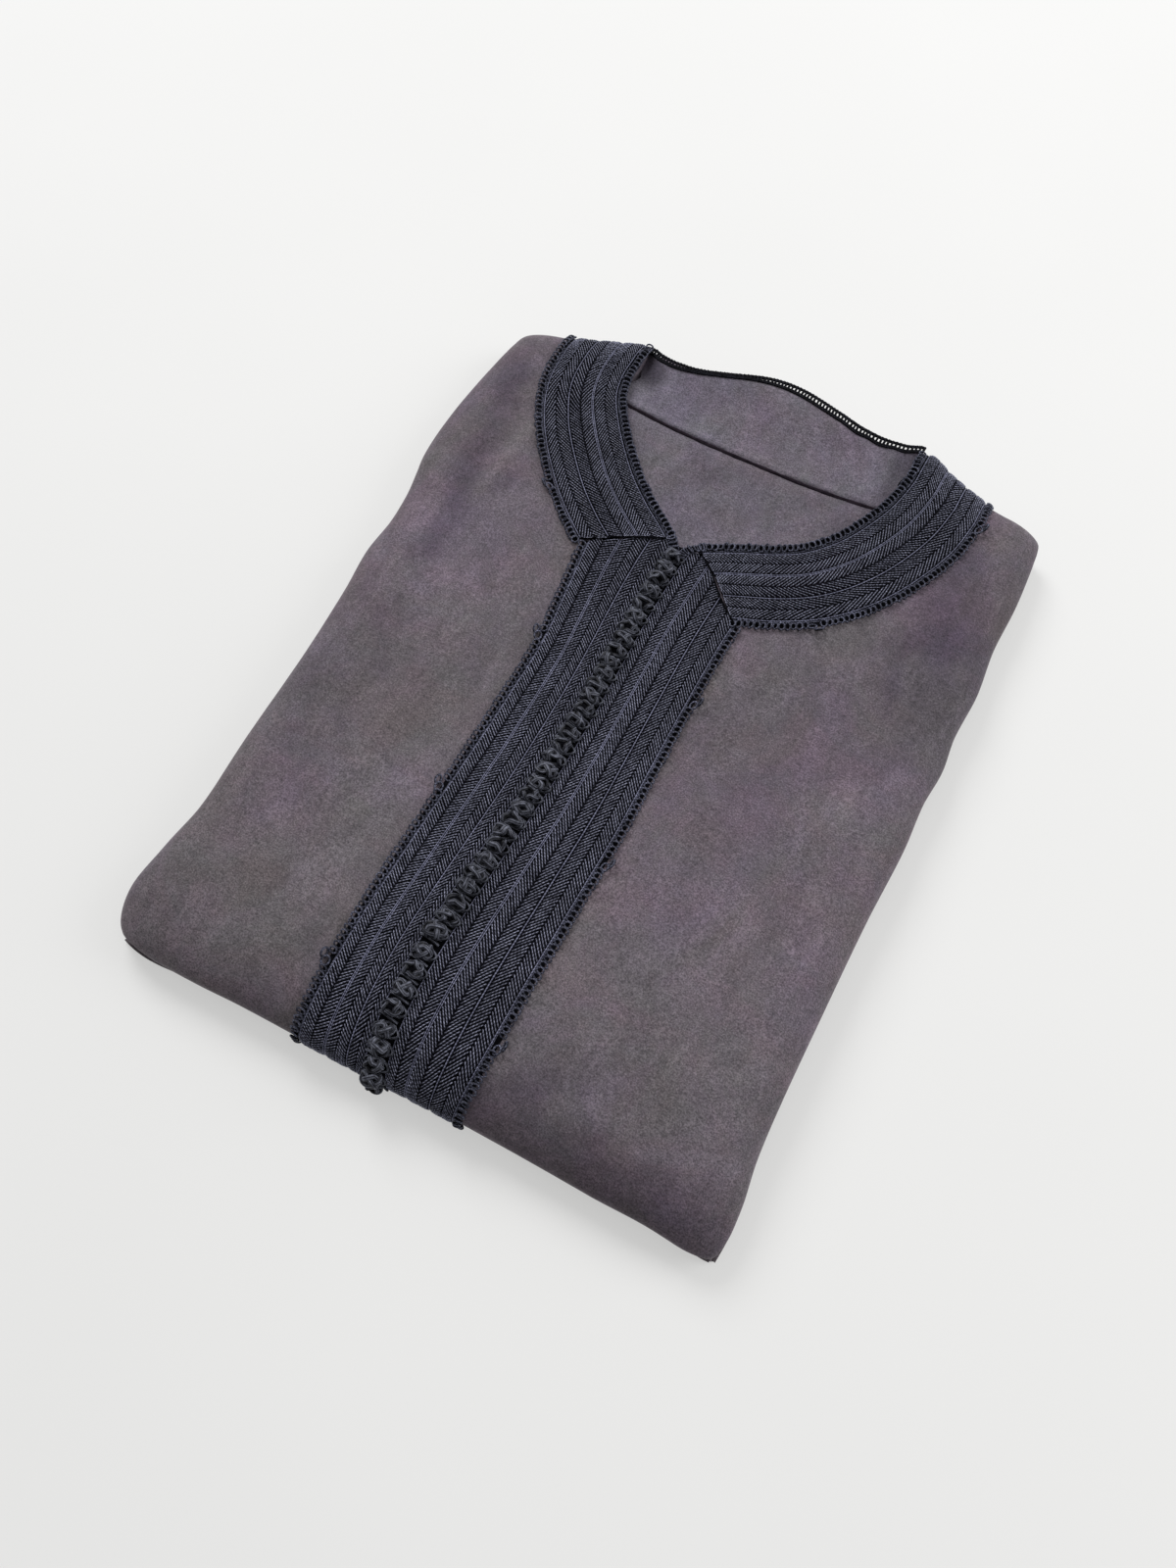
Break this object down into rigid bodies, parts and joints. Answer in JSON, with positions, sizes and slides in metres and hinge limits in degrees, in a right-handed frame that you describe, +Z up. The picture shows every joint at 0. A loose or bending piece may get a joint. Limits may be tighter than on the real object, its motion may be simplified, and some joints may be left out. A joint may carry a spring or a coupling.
{
  "type": "folded kaftan",
  "caption": "Long collarless kaftan folded flat and lying face up, with braid bands round the neck and down the front, looped edging and a column of knot buttons.",
  "frame": {"origin": "middle of the garment's underside, on the surface that it lies on", "axes": "+Z up through the folded layers, +Y up the garment to the neck, +X to the wearer's left"},
  "size_m": [0.3568, 0.4856, 0.0404],
  "materials": {
    "cloth": "brushed peach skin, soft sheen",
    "braid": "herringbone braid",
    "edging": "looped cord",
    "knots": "knotted cord"
  },
  "bodies": {
    "root": {"front_right": "cloth", "front_left": "cloth", "hidden_layers": "cloth", "back_panel": "cloth", "back_yoke": "cloth", "collar_band_back": "braid", "collar_band_right": "braid", "collar_band_left": "braid", "placket_band_right": "braid", "placket_band_left": "braid", "picot_neck_back": "edging", "picot_neck_right": "edging", "picot_neck_left": "edging", "picot_collar_right": "edging", "picot_collar_left": "edging", "picot_placket_right": "edging", "picot_placket_left": "edging", "knot_01": "knots", "knot_02": "knots", "knot_03": "knots", "knot_04": "knots", "knot_05": "knots", "knot_06": "knots", "knot_07": "knots", "knot_08": "knots", "knot_09": "knots", "knot_10": "knots", "knot_11": "knots", "knot_12": "knots", "knot_13": "knots", "knot_14": "knots", "knot_15": "knots", "knot_16": "knots", "knot_17": "knots", "knot_18": "knots", "knot_19": "knots", "knot_20": "knots", "knot_21": "knots", "knot_22": "knots", "knot_23": "knots", "knot_24": "knots", "knot_25": "knots", "knot_26": "knots", "knot_27": "knots", "knot_28": "knots", "knot_29": "knots", "knot_30": "knots", "knot_31": "knots", "knot_32": "knots", "knot_33": "knots", "knot_34": "knots", "knot_35": "knots", "knot_36": "knots", "knot_37": "knots", "knot_38": "knots", "knot_39": "knots", "knot_40": "knots"}
  },
  "joints": []
}
